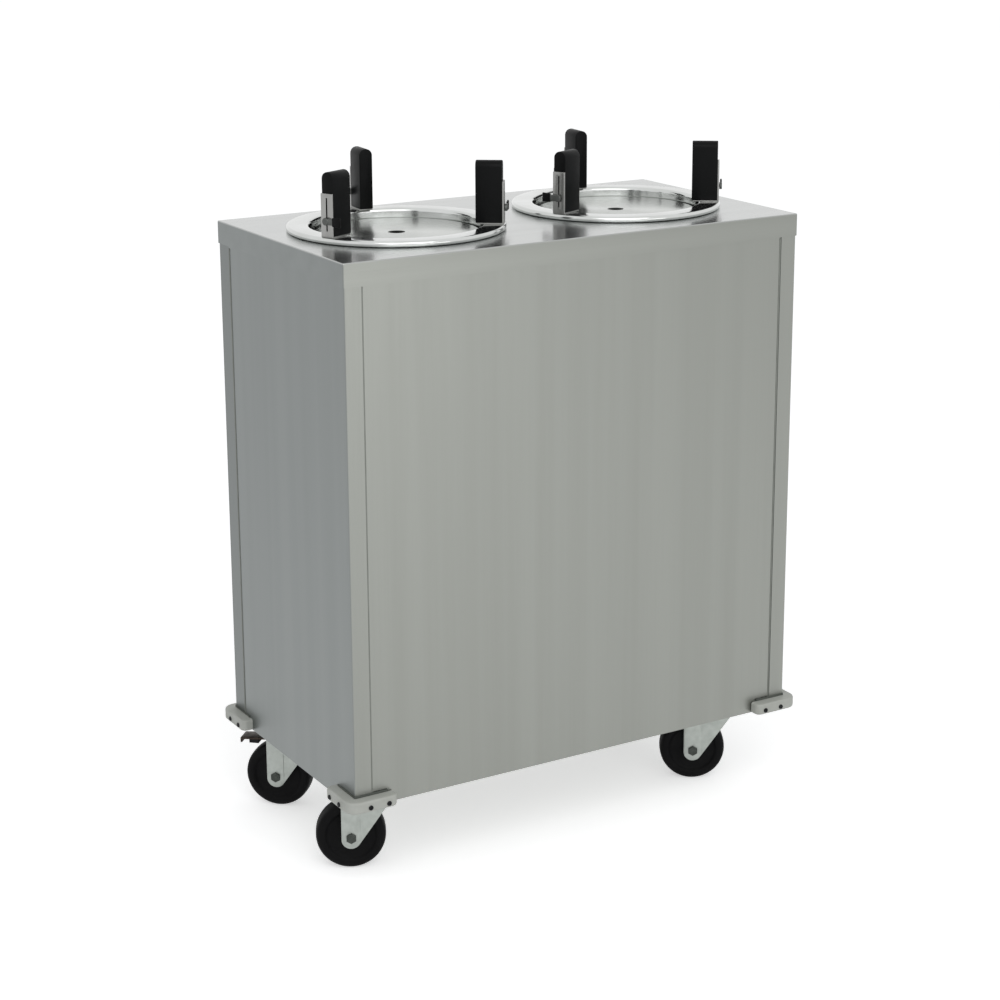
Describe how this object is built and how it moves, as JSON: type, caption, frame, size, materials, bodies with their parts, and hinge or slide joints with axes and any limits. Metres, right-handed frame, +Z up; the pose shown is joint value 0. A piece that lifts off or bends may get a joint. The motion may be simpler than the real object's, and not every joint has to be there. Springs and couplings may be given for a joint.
{
  "type": "heated plate dispenser",
  "caption": "Mobile heated plate dispenser: sheet steel cabinet on swivel casters, round wells with sprung carriers and adjustable guide posts.",
  "frame": {"origin": "on the floor, under the middle of the cabinet", "axes": "+Z up, +X to the right as seen from the front, +Y towards the back"},
  "size_m": [0.785, 0.437, 1.003],
  "materials": {
    "stainless_sheet": "brushed",
    "polished_steel": "spun and polished",
    "zinc_plate": "zinc plated",
    "bumper_vinyl": "moulded grey vinyl",
    "dark_screw": "black oxide",
    "heater_sheath": "heat darkened",
    "switch_plastic": "moulded",
    "red_lens": "moulded",
    "post_steel": "brushed",
    "post_plastic": "satin moulded",
    "lever_plastic": "moulded",
    "wheel_rubber": "moulded rubber",
    "pedal_steel": "dark painted"
  },
  "bodies": {
    "cabinet": {"top_deck": "stainless_sheet", "left_side_panel": "stainless_sheet", "right_side_panel": "stainless_sheet", "front_panel": "stainless_sheet", "back_panel": "stainless_sheet", "base_pan": "stainless_sheet", "caster_channels": "zinc_plate", "corner_bumpers": "bumper_vinyl", "bumper_screws": "dark_screw", "caster_plates": "zinc_plate", "caster_bolts": "zinc_plate", "left_flange_ring": "polished_steel", "right_flange_ring": "polished_steel", "left_well_tube": "stainless_sheet", "right_well_tube": "stainless_sheet", "left_carrier_springs": "zinc_plate", "right_carrier_springs": "zinc_plate", "heating_elements": "heater_sheath", "control_box": "stainless_sheet", "thermostat": "zinc_plate", "switch_housing": "switch_plastic", "cord_gland": "switch_plastic"},
    "left_carrier": {"left_carrier_plate": "polished_steel", "left_carrier_hanger": "zinc_plate"},
    "left_back_guide": {"left_back_guide_bracket": "post_steel", "left_back_guide_cover": "post_plastic"},
    "left_back_lever": {"left_back_clamp_lever": "lever_plastic"},
    "left_front_left_guide": {"left_front_left_guide_bracket": "post_steel", "left_front_left_guide_cover": "post_plastic"},
    "left_front_left_lever": {"left_front_left_clamp_lever": "lever_plastic"},
    "left_front_right_guide": {"left_front_right_guide_bracket": "post_steel", "left_front_right_guide_cover": "post_plastic"},
    "left_front_right_lever": {"left_front_right_clamp_lever": "lever_plastic"},
    "right_carrier": {"right_carrier_plate": "polished_steel", "right_carrier_hanger": "zinc_plate"},
    "right_back_guide": {"right_back_guide_bracket": "post_steel", "right_back_guide_cover": "post_plastic"},
    "right_back_lever": {"right_back_clamp_lever": "lever_plastic"},
    "right_front_left_guide": {"right_front_left_guide_bracket": "post_steel", "right_front_left_guide_cover": "post_plastic"},
    "right_front_left_lever": {"right_front_left_clamp_lever": "lever_plastic"},
    "right_front_right_guide": {"right_front_right_guide_bracket": "post_steel", "right_front_right_guide_cover": "post_plastic"},
    "right_front_right_lever": {"right_front_right_clamp_lever": "lever_plastic"},
    "front_left_caster": {"front_left_fork": "zinc_plate", "front_left_axle": "zinc_plate"},
    "front_left_wheel": {"front_left_wheel": "wheel_rubber"},
    "rear_left_caster": {"rear_left_fork": "zinc_plate", "rear_left_axle": "zinc_plate"},
    "rear_left_wheel": {"rear_left_wheel": "wheel_rubber"},
    "rear_left_brake": {"rear_left_brake_pedal": "pedal_steel"},
    "front_right_caster": {"front_right_fork": "zinc_plate", "front_right_axle": "zinc_plate"},
    "front_right_wheel": {"front_right_wheel": "wheel_rubber"},
    "rear_right_caster": {"rear_right_fork": "zinc_plate", "rear_right_axle": "zinc_plate"},
    "rear_right_wheel": {"rear_right_wheel": "wheel_rubber"},
    "rear_right_brake": {"rear_right_brake_pedal": "pedal_steel"},
    "knob": {"thermostat_knob": "switch_plastic"},
    "rocker": {"rocker_switch": "red_lens"}
  },
  "joints": [
    {"name": "left_carrier_drop", "type": "slide", "parent": "cabinet", "child": "left_carrier", "axis": [0, 0, -1], "range_m": [0, 0.42], "stiffness_N_per_m": 900, "springref_m": -0.05, "deforming": ["left_carrier_springs"]},
    {"name": "left_back_guide_set", "type": "slide", "parent": "cabinet", "child": "left_back_guide", "axis": [-0.1045, -0.9945, 0], "range_m": [0, 0.011]},
    {"name": "left_back_lever_turn", "type": "hinge", "parent": "left_back_guide", "child": "left_back_lever", "pos_m": [-0.17059, 0.15614, 0.936], "axis": [0.1045, 0.9945, 0], "range_deg": [0, 90]},
    {"name": "left_front_left_guide_set", "type": "slide", "parent": "cabinet", "child": "left_front_left_guide", "axis": [0.9135, 0.4067, 0], "range_m": [0, 0.011]},
    {"name": "left_front_left_lever_turn", "type": "hinge", "parent": "left_front_left_guide", "child": "left_front_left_lever", "pos_m": [-0.33043, -0.06386, 0.936], "axis": [-0.9135, -0.4067, 0], "range_deg": [0, 90]},
    {"name": "left_front_right_guide_set", "type": "slide", "parent": "cabinet", "child": "left_front_right_guide", "axis": [-0.809, 0.5878, 0], "range_m": [0, 0.011]},
    {"name": "left_front_right_lever_turn", "type": "hinge", "parent": "left_front_right_guide", "child": "left_front_right_lever", "pos_m": [-0.05998, -0.09228, 0.936], "axis": [0.809, -0.5878, 0], "range_deg": [0, 90]},
    {"name": "right_carrier_drop", "type": "slide", "parent": "cabinet", "child": "right_carrier", "axis": [0, 0, -1], "range_m": [0, 0.42], "stiffness_N_per_m": 900, "springref_m": -0.05, "deforming": ["right_carrier_springs"]},
    {"name": "right_back_guide_set", "type": "slide", "parent": "cabinet", "child": "right_back_guide", "axis": [-0.1045, -0.9945, 0], "range_m": [0, 0.011]},
    {"name": "right_back_lever_turn", "type": "hinge", "parent": "right_back_guide", "child": "right_back_lever", "pos_m": [0.20341, 0.15614, 0.936], "axis": [0.1045, 0.9945, 0], "range_deg": [0, 90]},
    {"name": "right_front_left_guide_set", "type": "slide", "parent": "cabinet", "child": "right_front_left_guide", "axis": [0.9135, 0.4067, 0], "range_m": [0, 0.011]},
    {"name": "right_front_left_lever_turn", "type": "hinge", "parent": "right_front_left_guide", "child": "right_front_left_lever", "pos_m": [0.04357, -0.06386, 0.936], "axis": [-0.9135, -0.4067, 0], "range_deg": [-90, 0]},
    {"name": "right_front_right_guide_set", "type": "slide", "parent": "cabinet", "child": "right_front_right_guide", "axis": [-0.809, 0.5878, 0], "range_m": [0, 0.011]},
    {"name": "right_front_right_lever_turn", "type": "hinge", "parent": "right_front_right_guide", "child": "right_front_right_lever", "pos_m": [0.31402, -0.09228, 0.936], "axis": [0.809, -0.5878, 0], "range_deg": [0, 90]},
    {"name": "front_left_swivel", "type": "hinge", "parent": "cabinet", "child": "front_left_caster", "pos_m": [-0.302, -0.12, 0.1157], "axis": [0, 0, 1], "continuous": true},
    {"name": "front_left_spin", "type": "hinge", "parent": "front_left_caster", "child": "front_left_wheel", "pos_m": [-0.33346, -0.10466, 0.0508], "axis": [0.4384, 0.8988, 0], "continuous": true},
    {"name": "rear_left_swivel", "type": "hinge", "parent": "cabinet", "child": "rear_left_caster", "pos_m": [-0.302, 0.12, 0.1157], "axis": [0, 0, 1], "continuous": true},
    {"name": "rear_left_spin", "type": "hinge", "parent": "rear_left_caster", "child": "rear_left_wheel", "pos_m": [-0.32739, 0.14409, 0.0508], "axis": [0.6884, 0.7254, 0], "continuous": true},
    {"name": "rear_left_brake_press", "type": "hinge", "parent": "rear_left_caster", "child": "rear_left_brake", "pos_m": [-0.31651, 0.13377, 0.1092], "axis": [-0.6884, -0.7254, 0], "range_deg": [0, 5]},
    {"name": "front_right_swivel", "type": "hinge", "parent": "cabinet", "child": "front_right_caster", "pos_m": [0.302, -0.12, 0.1157], "axis": [0, 0, 1], "continuous": true},
    {"name": "front_right_spin", "type": "hinge", "parent": "front_right_caster", "child": "front_right_wheel", "pos_m": [0.272, -0.10197, 0.0508], "axis": [0.515, 0.8572, 0], "continuous": true},
    {"name": "rear_right_swivel", "type": "hinge", "parent": "cabinet", "child": "rear_right_caster", "pos_m": [0.302, 0.12, 0.1157], "axis": [0, 0, 1], "continuous": true},
    {"name": "rear_right_spin", "type": "hinge", "parent": "rear_right_caster", "child": "rear_right_wheel", "pos_m": [0.27368, 0.14057, 0.0508], "axis": [0.5878, 0.809, 0], "continuous": true},
    {"name": "rear_right_brake_press", "type": "hinge", "parent": "rear_right_caster", "child": "rear_right_brake", "pos_m": [0.28582, 0.13176, 0.1092], "axis": [-0.5878, -0.809, 0], "range_deg": [0, 5]},
    {"name": "knob_turn", "type": "hinge", "parent": "cabinet", "child": "knob", "pos_m": [-0.055, 0.1695, 0.285], "axis": [0, 1, 0], "range_deg": [-270, 0]},
    {"name": "rocker_tip", "type": "hinge", "parent": "cabinet", "child": "rocker", "pos_m": [0, 0.1525, 0.285], "axis": [1, 0, 0], "range_deg": [0, 18]}
  ]
}
